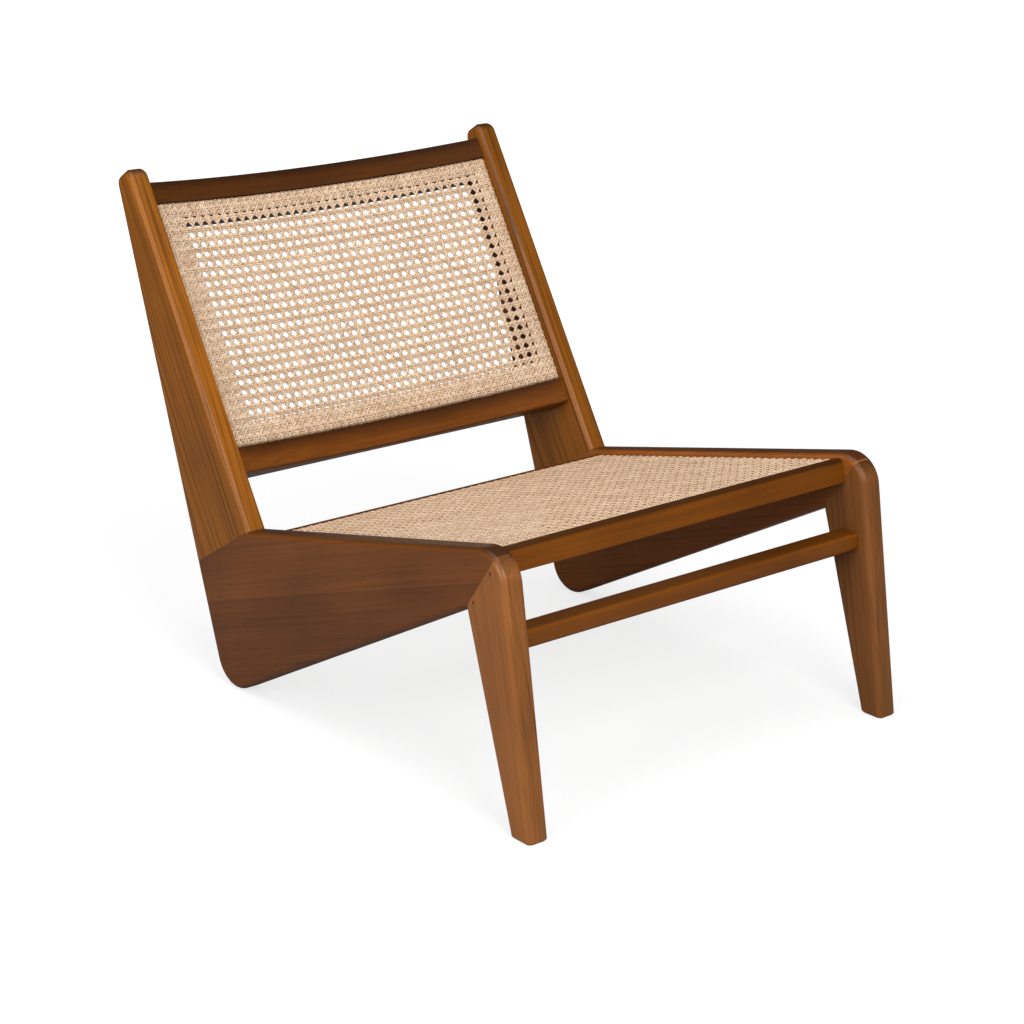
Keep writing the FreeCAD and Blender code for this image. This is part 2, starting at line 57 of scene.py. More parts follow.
class ChairWoodSettings(bpy.types.PropertyGroup):
    """Colours, grain and finish of the wooden pieces."""

    upright_color: bpy.props.FloatVectorProperty(
        name="Uprights", description="Colour of the back uprights", subtype="COLOR",
        default=(0.256, 0.080, 0.0040), min=0, max=1)
    panel_color: bpy.props.FloatVectorProperty(
        name="Side panels", description="Colour of the side panels", subtype="COLOR",
        default=(0.126, 0.037, 0.0056), min=0, max=1)
    leg_color: bpy.props.FloatVectorProperty(
        name="Legs", description="Colour of the front legs", subtype="COLOR",
        default=(0.255, 0.090, 0.021), min=0, max=1)
    rail_color: bpy.props.FloatVectorProperty(
        name="Seat rails", description="Colour of the seat rails and the stretcher", subtype="COLOR",
        default=(0.160, 0.045, 0.0022), min=0, max=1)
    back_rail_color: bpy.props.FloatVectorProperty(
        name="Back rails", description="Colour of the back rails", subtype="COLOR",
        default=(0.152, 0.043, 0.0038), min=0, max=1)
    frame_color: bpy.props.FloatVectorProperty(
        name="Panel frames", description="Stain on the frames of the caned panels", subtype="COLOR",
        default=(0.045, 0.016, 0.005), min=0, max=1)
    top_rail_tone: bpy.props.FloatProperty(
        name="Top rail tone", description="Brightness of the top rail against the lower one",
        default=0.455, min=0, max=2)
    # Partly painted shade: the left upright, on the far side, is darker partly from its wood and partly for
    # the light falling off across the chair.
    left_upright_tone_and_shade: bpy.props.FloatProperty(
        name="Left upright tone", description="Brightness of the left upright against the right one",
        default=0.84, min=0, max=2)
    # Painted shade: the left leg, on the far side, is darkened for the light falling off across the chair.
    left_leg_painted_shade: bpy.props.FloatProperty(
        name="Left leg tone", description="Brightness of the left leg against the right one",
        default=0.68, min=0, max=2)
    # Painted light: the left side panel is brightened, because its inner face lies in shade under the seat.
    left_panel_painted_light: bpy.props.FloatProperty(
        name="Left panel tone", description="Brightness of the left side panel against the right one",
        default=1.6, min=0, max=2)
    grain_contrast: bpy.props.FloatProperty(
        name="Grain contrast", description="How far late wood is darker than early wood", default=0.5,
        min=0, max=1, subtype="FACTOR")
    peg_color: bpy.props.FloatVectorProperty(
        name="Peg", description="End grain of the pegs", subtype="COLOR",
        default=(0.030, 0.012, 0.006), min=0, max=1)
    upright_grain: bpy.props.FloatProperty(
        name="Upright grain", description="Slope of the grain in the uprights", subtype="ANGLE",
        default=math.radians(60))
    panel_grain: bpy.props.FloatProperty(
        name="Panel grain", description="Slope of the grain in the side panels", subtype="ANGLE",
        default=math.radians(-18))
    leg_grain: bpy.props.FloatProperty(
        name="Leg grain", description="Slope of the grain in the front legs", subtype="ANGLE",
        default=math.radians(79))
    upright_figure: bpy.props.FloatProperty(
        name="Upright figure", description="Strength of the grain lines in the uprights", default=0.9,
        min=0, max=1, subtype="FACTOR")
    panel_figure: bpy.props.FloatProperty(
        name="Panel figure", description="Strength of the grain lines in the side panels", default=0.22,
        min=0, max=1, subtype="FACTOR")
    leg_figure: bpy.props.FloatProperty(
        name="Leg figure", description="Strength of the grain lines in the front legs", default=0.45,
        min=0, max=1, subtype="FACTOR")
    rail_figure: bpy.props.FloatProperty(
        name="Rail figure", description="Strength of the grain lines in rails and panel frames",
        default=0.2, min=0, max=1, subtype="FACTOR")
    # Painted shade: surfaces that face up are painted darker, down to this tone, for the shade on top
    # edges, which get less light than the fronts.
    painted_top_shade_tone: bpy.props.FloatProperty(
        name="Painted top shade tone", description="Brightness of edges that face up, where the finish has darkened",
        default=0.30, min=0, max=1, subtype="FACTOR")
    # Painted shade: the seat's front rail takes the painted shade of its top further down its rounded edge.
    front_rail_shade_gain: bpy.props.FloatProperty(
        name="Front rail shade gain", default=1.8, min=1,
        description="How much sooner the seat's front rail darkens towards its top")
    ring_width: bpy.props.FloatProperty(
        name="Ring width", description="Width of a year's growth", default=0.0075, unit="LENGTH")
    stave_width: bpy.props.FloatProperty(
        name="Stave width", description="Width of the staves that a wide board is glued up from",
        default=0.115, unit="LENGTH")
    stave_tone: bpy.props.FloatProperty(
        name="Stave tone", description="How far neighbouring staves of a side panel differ in brightness",
        default=0.22, min=0, max=1, subtype="FACTOR")
    gloss_roughness: bpy.props.FloatProperty(
        name="Roughness", description="Roughness of the oiled finish", default=0.31, min=0, max=1,
        subtype="FACTOR")
    shine: bpy.props.FloatProperty(
        name="Shine", description="Strength of reflections on the oiled finish", default=0.26, min=0, max=1,
        subtype="FACTOR")
    arris: bpy.props.FloatProperty(
        name="Arris", description="Easing of the sharp edges where boards meet", default=0.0005,
        unit="LENGTH")


class ChairCaneSettings(bpy.types.PropertyGroup):
    """Sizes and colours of the woven cane."""

    mesh: bpy.props.FloatProperty(
        name="Mesh", description="Distance from hole to hole", default=0.0127, unit="LENGTH")
    strand_width: bpy.props.FloatProperty(
        name="Strand width", description="Width of the paired strands", default=0.0023, unit="LENGTH")
    pair_spacing: bpy.props.FloatProperty(
        name="Pair spacing", description="Distance between the middles of two paired strands",
        default=0.0028, unit="LENGTH")
    diagonal_width: bpy.props.FloatProperty(
        name="Diagonal width", description="Width of the slanting strands", default=0.0020,
        unit="LENGTH")
    strand_thickness: bpy.props.FloatProperty(
        name="Strand thickness", description="Thickness of every strand", default=0.0009, unit="LENGTH")
    pair_lift: bpy.props.FloatProperty(
        name="Pair lift", description="Rise and fall of a paired strand", default=0.00035, unit="LENGTH")
    diagonal_lift: bpy.props.FloatProperty(
        name="Diagonal lift", description="Rise and fall of a slanting strand", default=0.00055,
        unit="LENGTH")
    back_border: bpy.props.FloatVectorProperty(
        name="Back border", size=4, default=(0.0297, 0.0198, 0.0284, 0.0190), unit="LENGTH",
        description="Width of the back's doubled weave at -X, at +X, below and above")
    seat_border: bpy.props.FloatVectorProperty(
        name="Seat border", size=4, default=(0.024, 0.024, 0.024, 0.024), unit="LENGTH",
        description="Width of the seat's doubled weave at -X, at +X, in front and behind")
    border_depth: bpy.props.FloatProperty(
        name="Border depth", description="How far the second layer of the border lies below the first",
        default=0.00085, unit="LENGTH")
    border_breadth: bpy.props.FloatProperty(
        name="Border breadth", description="Breadth of the border's second strands against the first",
        default=1.5, min=1)
    wander: bpy.props.FloatProperty(
        name="Wander", description="How far strands stray from an even mesh", default=0.00022,
        unit="LENGTH")
    bed: bpy.props.FloatProperty(
        name="Bed", description="Depth of the weave's middle below the panel's face", default=0.00105,
        unit="LENGTH")
    roll_radius: bpy.props.FloatProperty(
        name="Roll radius", description="Radius of the weave round the frame's edge", default=0.0014,
        unit="LENGTH")
    roll_depth: bpy.props.FloatProperty(
        name="Roll depth", description="How far the weave goes down the frame's edge", default=0.0044,
        unit="LENGTH")
    cad_roll_depth: bpy.props.FloatProperty(
        name="Panel roll depth", description="Depth of the rolled edge of the packed net",
        default=0.0055, unit="LENGTH")
    seat_pitch: bpy.props.FloatProperty(
        name="Seat pitch", description="Fall of the seat towards the back", subtype="ANGLE",
        default=math.radians(12.6))
    back_pitch: bpy.props.FloatProperty(
        name="Back pitch", description="Lean of the back from upright", subtype="ANGLE",
        default=math.radians(30.7))
    bow_radius: bpy.props.FloatProperty(
        name="Bow radius", description="Radius of the back's bow across the chair", default=1.5225,
        unit="LENGTH")
    back_shift: bpy.props.FloatVectorProperty(
        name="Back shift", size=2, default=(-0.22, 0.37),
        description="How many meshes the back's weave lies off centre, across and up")
    edge_shade: bpy.props.FloatProperty(
        name="Edge shade", description="Darkening of the strands where they roll over the panel's edge",
        default=0.7)
    roughness: bpy.props.FloatProperty(
        name="Roughness", description="Roughness of the strands", default=0.48, min=0, max=1,
        subtype="FACTOR")
    shine: bpy.props.FloatProperty(
        name="Shine", description="Strength of reflections on the strands", default=0.25, min=0, max=1,
        subtype="FACTOR")
    light_color: bpy.props.FloatVectorProperty(
        name="Light cane", description="Colour of the palest strands", subtype="COLOR",
        default=(0.91, 0.70, 0.50), min=0, max=1)
    dark_color: bpy.props.FloatVectorProperty(
        name="Dark cane", description="Colour of the darkest strands", subtype="COLOR",
        default=(0.57, 0.375, 0.235), min=0, max=1)
    fleck_color: bpy.props.FloatVectorProperty(
        name="Fleck", description="Colour of the bark left on a strand", subtype="COLOR",
        default=(0.24, 0.12, 0.055), min=0, max=1)


class ChairStageSettings(bpy.types.PropertyGroup):
    """Camera, floor and lights."""

    camera_place: bpy.props.FloatVectorProperty(
        name="Camera", description="Where the camera stands", subtype="XYZ", unit="LENGTH",
        default=(-1.73138, -2.15768, 1.12117))
    camera_azimuth: bpy.props.FloatProperty(
        name="Azimuth", description="Turn of the camera round the chair", subtype="ANGLE",
        default=math.radians(-39.0178))
    camera_elevation: bpy.props.FloatProperty(
        name="Elevation", description="Angle that the camera looks down by", subtype="ANGLE",
        default=math.radians(18.2619))
    camera_roll: bpy.props.FloatProperty(
        name="Roll", description="Tilt of the camera about its axis", subtype="ANGLE",
        default=math.radians(0.0809))
    lens: bpy.props.FloatProperty(
        name="Lens", description="Focal length of the camera", default=85.225, unit="CAMERA")
    sensor: bpy.props.FloatProperty(
        name="Sensor", description="Width of the camera's sensor", default=36.0, unit="CAMERA")
    floor_size: bpy.props.FloatProperty(
        name="Floor", description="Length of the floor's sides", default=40.0, unit="LENGTH")
    floor_color: bpy.props.FloatVectorProperty(
        name="Floor colour", description="Colour of the floor", subtype="COLOR",
        default=(0.28, 0.28, 0.28), min=0, max=1)
    floor_glow: bpy.props.FloatProperty(
        name="Floor glow", description="White that the camera sees on the floor besides its own light",
        default=0.73)
    far_glow: bpy.props.FloatProperty(
        name="Far glow", description="The same far from the chair, where less light falls", default=1.0)
    glow_range: bpy.props.FloatVectorProperty(
        name="Glow range", size=2, default=(0.7, 2.2), unit="LENGTH",
        description="Distances from the chair's middle between which the one glow turns into the other")
    room_light: bpy.props.FloatProperty(
        name="Room light", description="Strength of the white room's light", default=0.42)
    room_reflection: bpy.props.FloatProperty(
        name="Room reflection", description="Strength of the room in reflections", default=0.04)


def settings(kind):
    """Settings of one kind, kept on the scene."""
    return getattr(bpy.context.scene, "chair_" + kind)


def new_node(tree, kind, **values):
    """Shader node with its values set, by property or by input name."""
    node = tree.nodes.new(kind)
    for name, value in values.items():
        if hasattr(node, name):
            setattr(node, name, value)
        else:
            node.inputs[name.replace("_", " ")].default_value = value
    return node


def blend_colors(tree, factor, first, second, mode="MIX"):
    """Mix of two colours; each argument is a socket or a value."""
    factor_socket, first_socket, second_socket, result_socket = 0, 6, 7, 2
    node = tree.nodes.new("ShaderNodeMix")
    node.data_type = "RGBA"
    node.blend_type = mode
    for index, value in ((factor_socket, factor), (first_socket, first), (second_socket, second)):
        connect(tree, value, node.inputs[index])
    return node.outputs[result_socket]


def connect(tree, value, socket):
    """Links a socket, or sets a plain value."""
    if isinstance(value, bpy.types.NodeSocket):
        tree.links.new(value, socket)
    elif hasattr(socket.default_value, "__len__") and len(socket.default_value) == 4:
        socket.default_value = (*value[:3], 1)
    else:
        socket.default_value = value


def calculate(tree, operation, first, second=0.0, third=0.0):
    """Result of a maths node; each argument is a socket or a value."""
    node = tree.nodes.new("ShaderNodeMath")
    node.operation = operation
    for socket, value in zip(node.inputs, (first, second, third)):
        connect(tree, value, socket)
    return node.outputs[0]


def stretched_noise(tree, vector, scale, detail, roughness=0.5):
    """Noise on a vector that is scaled by its own factor on each axis."""
    scaled = tree.nodes.new("ShaderNodeVectorMath")
    scaled.operation = "MULTIPLY"
    connect(tree, vector, scaled.inputs[0])
    scaled.inputs[1].default_value = scale
    noise = new_node(tree, "ShaderNodeTexNoise", Scale=1.0, Detail=detail, Roughness=roughness)
    tree.links.new(scaled.outputs[0], noise.inputs["Vector"])
    return noise.outputs["Fac"]


def spread(tree, value, low, high):
    """Value stretched so that a range becomes zero to one."""
    node = new_node(tree, "ShaderNodeMapRange", From_Min=low, From_Max=high)
    tree.links.new(value, node.inputs["Value"])
    return node.outputs["Result"]


def new_group(name, inputs, outputs):
    """Node group with its sockets; gives the group and the nodes at its two ends."""
    group = bpy.data.node_groups.new(name, "ShaderNodeTree")
    for label, kind in inputs:
        group.interface.new_socket(name=label, in_out="INPUT", socket_type=kind)
    for label, kind in outputs:
        group.interface.new_socket(name=label, in_out="OUTPUT", socket_type=kind)
    return group, group.nodes.new("NodeGroupInput"), group.nodes.new("NodeGroupOutput")


def wood_group():
    """Colour, roughness and relief of wood whose grain runs along Y."""
    name = "Wood grain"
    if name in bpy.data.node_groups:
        return bpy.data.node_groups[name]
    group, start, end = new_group(
        name,
        [("Vector", "NodeSocketVector"), ("Light", "NodeSocketColor"), ("Dark", "NodeSocketColor"),
         ("Rings", "NodeSocketFloat"), ("Figure", "NodeSocketFloat"), ("Stave Width", "NodeSocketFloat"),
         ("Stave Tone", "NodeSocketFloat"), ("Facing Up", "NodeSocketFloat"),
         ("Painted Top Shade Tone", "NodeSocketFloat")],
        [("Color", "NodeSocketColor"), ("Roughness", "NodeSocketFloat"), ("Height", "NodeSocketFloat")],
    )
    vector = start.outputs["Vector"]
    figure = start.outputs["Figure"]
    dark = start.outputs["Dark"]
    # Each pattern's scale on the three axes, its detail, and the range that becomes zero to one.
    patterns = {
        "fading": ((40, 3, 40), 2, (0.35, 0.65)),
        "lines": ((230, 1.4, 230), 1, (0.57, 0.66)),
        "fibres": ((420, 5, 420), 3, (0.3, 0.72)),
        "pores": ((760, 42, 760), 1, (0.60, 0.72)),
        "clouds": ((16, 1.6, 16), 3, (0.3, 0.7)),
        "blotches": ((13, 8, 13), 2, (0.3, 0.7)),
    }
    tone_shares = {"fibres": 0.26, "clouds": 0.30, "blotches": 0.26}
    sway_scale, sway_detail, sway_reach = (5, 0.9, 5), 1, 0.06
    late_wood_sharpness = 6.0
    pore_strength, line_strength = 0.13, 0.62
    mark_depth, mark_color = 0.55, (0.01, 0.004, 0.002)
    # Facing-up range over which the painted shade on top edges comes in.
    top_shade_range = (0.4, 0.9)
    pore_roughness, fibre_roughness = 0.16, 0.07
    pore_height, fibre_height = -0.7, 0.3

    masks = {}
    for pattern, (scale, detail, used) in patterns.items():
        masks[pattern] = spread(group, stretched_noise(group, vector, scale, detail), *used)

    sway = stretched_noise(group, vector, sway_scale, sway_detail)
    sway_offset = calculate(group, "MULTIPLY_ADD", sway, sway_reach, -sway_reach / 2)
    push = group.nodes.new("ShaderNodeCombineXYZ")
    group.links.new(sway_offset, push.inputs["X"])
    group.links.new(sway_offset, push.inputs["Z"])
    bent = group.nodes.new("ShaderNodeVectorMath")
    group.links.new(vector, bent.inputs[0])
    group.links.new(push.outputs[0], bent.inputs[1])
    rings = new_node(group, "ShaderNodeTexWave", wave_type="RINGS", rings_direction="Y",
                     wave_profile="SAW", Distortion=0.0)
    group.links.new(bent.outputs[0], rings.inputs["Vector"])
    group.links.new(start.outputs["Rings"], rings.inputs["Scale"])
    late_wood = calculate(group, "POWER", rings.outputs["Fac"], late_wood_sharpness)
    late_wood = calculate(group, "MULTIPLY", late_wood, masks["fading"])
    tone = calculate(group, "MULTIPLY", late_wood, figure)
    for pattern, share in tone_shares.items():
        tone = calculate(group, "MULTIPLY_ADD", masks[pattern], share, tone)
    color = blend_colors(group, tone, start.outputs["Light"], dark)

    lines = calculate(group, "MULTIPLY", masks["lines"], figure)
    marks = calculate(group, "MAXIMUM", calculate(group, "MULTIPLY", masks["pores"], pore_strength),
                      calculate(group, "MULTIPLY", lines, line_strength))
    color = blend_colors(group, marks, color, blend_colors(group, mark_depth, dark, mark_color))

    axes = group.nodes.new("ShaderNodeSeparateXYZ")
    group.links.new(vector, axes.inputs[0])
    stave = calculate(group, "DIVIDE", axes.outputs["Z"], start.outputs["Stave Width"])
    every_other = calculate(group, "FLOORED_MODULO", calculate(group, "FLOOR", stave), 2.0)
    stave_side = calculate(group, "SUBTRACT", 0.5, every_other)
    shade = calculate(group, "MULTIPLY_ADD", stave_side, start.outputs["Stave Tone"], 1.0)
    # Painted shade: the colour darkens on surfaces that face up, standing in for the shade on top edges.
    top_shade_mask = spread(group, start.outputs["Facing Up"], *top_shade_range)
    painted_shade_depth = calculate(group, "SUBTRACT", 1.0, start.outputs["Painted Top Shade Tone"])
    left_over = calculate(group, "SUBTRACT", 1.0, calculate(group, "MULTIPLY", top_shade_mask, painted_shade_depth))
    shade = calculate(group, "MULTIPLY", shade, left_over)
    grey = group.nodes.new("ShaderNodeCombineColor")
    for channel in ("Red", "Green", "Blue"):
        group.links.new(shade, grey.inputs[channel])
    color = blend_colors(group, 1.0, color, grey.outputs[0], "MULTIPLY")

    roughness = calculate(group, "MULTIPLY_ADD", masks["pores"], pore_roughness,
                          calculate(group, "MULTIPLY", masks["fibres"], fibre_roughness))
    height = calculate(group, "MULTIPLY_ADD", masks["pores"], pore_height,
                       calculate(group, "MULTIPLY", masks["fibres"], fibre_height))
    group.links.new(color, end.inputs["Color"])
    group.links.new(roughness, end.inputs["Roughness"])
    group.links.new(height, end.inputs["Height"])
    return group


def cane_group():
    """Tone of split cane: each strand has its own shade and flecks of bark, and painted shade darkens its
    sides.
    """
    name = "Cane strand"
    if name in bpy.data.node_groups:
        return bpy.data.node_groups[name]
    group, start, end = new_group(
        name,
        [("Vector", "NodeSocketVector"), ("Shade", "NodeSocketFloat"), ("Edge", "NodeSocketFloat"),
         ("Light", "NodeSocketColor"), ("Dark", "NodeSocketColor"), ("Fleck", "NodeSocketColor")],
        [("Color", "NodeSocketColor"), ("Height", "NodeSocketFloat")],
    )
    vector = start.outputs["Vector"]
    fleck = start.outputs["Fleck"]
    patch_scale, fine_scale, fleck_scale = (55, 55, 55), (900, 900, 900), (130, 130, 130)
    patch_range, fleck_range, fleck_roughness = (0.3, 0.7), (0.66, 0.76), 0.7
    shade_share, patch_share, fine_share = 0.55, 0.35, 0.25
    fleck_strength = 0.75
    # Sharpness and strength of the painted shade along the strands' sides.
    gap_shade_sharpness, gap_shade_strength = 5.0, 0.45
    round_height, fine_height = -1.0, 0.25

    patches = spread(group, stretched_noise(group, vector, patch_scale, detail=3), *patch_range)
    fine = stretched_noise(group, vector, fine_scale, detail=2)
    bark = stretched_noise(group, vector, fleck_scale, detail=2, roughness=fleck_roughness)
    flecks = spread(group, bark, *fleck_range)
    tone = calculate(group, "MULTIPLY", start.outputs["Shade"], shade_share)
    tone = calculate(group, "MULTIPLY_ADD", patches, patch_share, tone)
    tone = calculate(group, "MULTIPLY_ADD", fine, fine_share, tone)
    color = blend_colors(group, tone, start.outputs["Light"], start.outputs["Dark"])
    color = blend_colors(group, calculate(group, "MULTIPLY", flecks, fleck_strength), color, fleck)
    side = calculate(group, "ABSOLUTE", start.outputs["Edge"])
    # Painted shade: the strand's colour darkens towards its sides, standing in for the shade in the gaps
    # between overlapping strands.
    painted_gap_shade = calculate(group, "MULTIPLY", calculate(group, "POWER", side, gap_shade_sharpness), gap_shade_strength)
    color = blend_colors(group, painted_gap_shade, color, fleck)
    round_back = calculate(group, "MULTIPLY", calculate(group, "MULTIPLY", side, side), round_height)
    height = calculate(group, "MULTIPLY_ADD", fine, fine_height, round_back)
    group.links.new(color, end.inputs["Color"])
    group.links.new(height, end.inputs["Height"])
    return group


def new_material(name):
    """Empty material; gives it, its node tree and its shader."""
    material = bpy.data.materials.new(name)
    material.use_nodes = True
    tree = material.node_tree
    return material, tree, tree.nodes["Principled BSDF"]


def add_relief(tree, height, strength, distance, shader):
    """Turns a height into a bump on a shader."""
    bump = new_node(tree, "ShaderNodeBump", Strength=strength, Distance=distance)
    tree.links.new(height, bump.inputs["Height"])
    tree.links.new(bump.outputs["Normal"], shader.inputs["Normal"])


def wood_material(name, color, turn, place, figure, stave_tone=0.0):
    """Oiled wood whose grain runs along Y after a turn, cut from its own place in the log."""
    wood = settings("wood")
    # The wave texture's own turn for each metre, at a scale of one.
    radians_per_metre = 20
    relief_strength, relief_depth = 0.25, 0.0003
    light = [channel * (1 + wood.grain_contrast) for channel in color]
    dark = [channel * (1 - wood.grain_contrast) for channel in color]
    material, tree, shader = new_material(name)
    source = tree.nodes.new("ShaderNodeTexCoord")
    mapping = new_node(tree, "ShaderNodeMapping", vector_type="POINT", Rotation=turn, Location=place)
    grain = tree.nodes.new("ShaderNodeGroup")
    grain.node_tree = wood_group()
    tree.links.new(source.outputs["Object"], mapping.inputs["Vector"])
    tree.links.new(mapping.outputs["Vector"], grain.inputs["Vector"])
    connect(tree, light, grain.inputs["Light"])
    connect(tree, dark, grain.inputs["Dark"])
    grain.inputs["Rings"].default_value = 2 * math.pi / radians_per_metre / wood.ring_width
    grain.inputs["Figure"].default_value = figure
    grain.inputs["Stave Width"].default_value = wood.stave_width
    grain.inputs["Stave Tone"].default_value = stave_tone
    # Painted shade on surfaces that face up, from how far each vertex faces up.
    grain.inputs["Painted Top Shade Tone"].default_value = wood.painted_top_shade_tone
    facing = new_node(tree, "ShaderNodeAttribute", attribute_name="facing_up")
    tree.links.new(facing.outputs["Fac"], grain.inputs["Facing Up"])
    tree.links.new(grain.outputs["Color"], shader.inputs["Base Color"])
    rough = calculate(tree, "ADD", grain.outputs["Roughness"], wood.gloss_roughness)
    tree.links.new(rough, shader.inputs["Roughness"])
    shader.inputs["Specular IOR Level"].default_value = wood.shine
    add_relief(tree, grain.outputs["Height"], relief_strength, relief_depth, shader)
    return material


def plain_material(name, color, roughness):
    """Material of one colour."""
    material, tree, shader = new_material(name)
    connect(tree, color, shader.inputs["Base Color"])
    shader.inputs["Roughness"].default_value = roughness
    return material


def cane_material():
    """Woven cane, with each strand's shade and sides from its attributes."""
    cane = settings("cane")
    relief_strength, relief_depth = 0.6, 0.0004
    name = "Split cane"
    if name in bpy.data.materials:
        return bpy.data.materials[name]
    material, tree, shader = new_material(name)
    source = tree.nodes.new("ShaderNodeTexCoord")
    shade = new_node(tree, "ShaderNodeAttribute", attribute_name="shade")
    edge = new_node(tree, "ShaderNodeAttribute", attribute_name="edge")
    strand = tree.nodes.new("ShaderNodeGroup")
    strand.node_tree = cane_group()
    tree.links.new(source.outputs["Object"], strand.inputs["Vector"])
    tree.links.new(shade.outputs["Fac"], strand.inputs["Shade"])
    tree.links.new(edge.outputs["Fac"], strand.inputs["Edge"])
    connect(tree, cane.light_color, strand.inputs["Light"])
    connect(tree, cane.dark_color, strand.inputs["Dark"])
    connect(tree, cane.fleck_color, strand.inputs["Fleck"])
    tree.links.new(strand.outputs["Color"], shader.inputs["Base Color"])
    shader.inputs["Roughness"].default_value = cane.roughness
    shader.inputs["Specular IOR Level"].default_value = cane.shine
    add_relief(tree, strand.outputs["Height"], relief_strength, relief_depth, shader)
    return material


def dress(node, material):
    """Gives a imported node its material."""
    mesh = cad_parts[node].data
    mesh.materials.clear()
    mesh.materials.append(material)


def new_piece(name, builder, material, slot, replaced):
    """Object of the chair from a bmesh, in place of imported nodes."""
    mesh = bpy.data.meshes.new(name)
    builder.to_mesh(mesh)
    builder.free()
    mesh.materials.append(material)
    piece = bpy.data.objects.new(name, mesh)
    bpy.context.scene.collection.objects.link(piece)
    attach(piece, "root")
    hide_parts(*replaced)
    return piece


def smooth_board(node, material, slot, edge_gain=1.0):
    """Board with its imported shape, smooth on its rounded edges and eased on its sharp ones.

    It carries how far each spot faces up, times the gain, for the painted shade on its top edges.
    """
    wood = settings("wood")
    merge_distance = 1e-6
    soft_angle = math.radians(28)
    builder = bmesh.new()
    builder.from_mesh(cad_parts[node].data)
    bmesh.ops.remove_doubles(builder, verts=builder.verts, dist=merge_distance)
    builder.normal_update()
    # How far each vertex faces up, which drives the painted shade on top edges.
    facing = builder.verts.layers.float.new("facing_up")
    for vert in builder.verts:
        vert[facing] = min(1.0, edge_gain * max(0.0, vert.normal.z))
    for face in builder.faces:
        face.smooth = True
        face.material_index = 0
    piece = new_piece(node + "_board", builder, material, slot, [node])
    piece.data.set_sharp_from_angle(angle=soft_angle)
    easing = piece.modifiers.new("Arris", "BEVEL")
    easing.width = wood.arris
    easing.segments = 1
    easing.limit_method = "ANGLE"
    easing.angle_limit = soft_angle
    normals = piece.modifiers.new("Flat faces", "WEIGHTED_NORMAL")
    normals.keep_sharp = True


def in_axes(nodes, pitch):
    """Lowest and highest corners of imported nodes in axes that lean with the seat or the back."""
    upright = Matrix.Rotation(pitch, 3, "X")
    points = [upright @ v.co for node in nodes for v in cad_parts[node].data.vertices]
    low = Vector([min(p[axis] for p in points) for axis in range(3)])
    high = Vector([max(p[axis] for p in points) for axis in range(3)])
    return low, high


def rolled(distance, flat_half):
    """Place along a panel, depth and outward lean of the weave at a distance from the middle."""
    radius = settings("cane").roll_radius
    side = math.copysign(1, distance)
    past = abs(distance) - flat_half
    if past <= 0:
        return distance, 0.0, 0.0
    angle = min(past / radius, math.pi / 2)
    straight = max(0.0, past - radius * math.pi / 2)
    place = side * (flat_half + radius * math.sin(angle))
    depth = radius * (1 - math.cos(angle)) + straight
    return place, depth, side * angle


def on_panel(point, half_width, half_length):
    """Weave's flat point taken to the panel: across, along, and depth below its face."""
    cane = settings("cane")
    edge = cane.bed + cane.roll_radius
    across, side_depth, side_lean = rolled(point.x, half_width - edge)
    along, end_depth, end_lean = rolled(point.y, half_length - edge)
    depth = cane.bed + side_depth + end_depth
    lift = Vector((math.sin(side_lean), math.sin(end_lean), -math.cos(side_lean) * math.cos(end_lean)))
    return Vector((across, along, depth)) + lift * point.z


def pair_height(distance, lean):
    """Height of a paired strand that goes over and under the crossing pair."""
    cane = settings("cane")
    crossing_reach, steepness = 0.25, 6
    place = (distance / cane.mesh + 0.5) % 1 - 0.5
    near_crossing = abs(place) < crossing_reach
    return -lean * cane.pair_lift * max(-1.0, min(1.0, steepness * place)) * near_crossing


def diagonal_height(across, lean):
    """Height of a slanting strand, over one set of pairs and under the other."""
    cane = settings("cane")
    turning_place, steepness = 0.25, 8
    place = abs((across / cane.mesh + 0.5) % 1 - 0.5)
    rise = max(-1.0, min(1.0, (turning_place - place) * steepness))
    return lean * cane.diagonal_lift * rise


def strip(builder, width, length, rows):
    """Flat strip along Y round the origin, cut into rows; gives its vertices."""
    made = bmesh.ops.create_grid(
        builder, x_segments=1, y_segments=rows, size=0.5,
        matrix=Matrix.Diagonal((width, length, 1, 1)))
    return made["verts"]


def clip(builder, half_width, half_length):
    """Cuts off what lies outside the weave's flat outline."""
    for normal, reach in (((1, 0, 0), half_width), ((0, 1, 0), half_length)):
        for side in (1, -1):
            way = Vector(normal) * side
            bmesh.ops.bisect_plane(
                builder, geom=builder.verts[:] + builder.edges[:] + builder.faces[:],
                plane_co=way * reach, plane_no=way, clear_outer=True)


def flat_reach(half):
    """Half size of the weave laid flat, with what is rolled over the edge."""
    cane = settings("cane")
    arc = cane.roll_radius * math.pi / 2
    return half - cane.bed - cane.roll_radius + arc + cane.roll_depth - cane.roll_radius - cane.bed


def strand_layers(builder):
    """Layers of a weave that hold each strand's shade and the sides of the strand."""
    return builder.verts.layers.float.new("shade"), builder.verts.layers.float.new("edge")


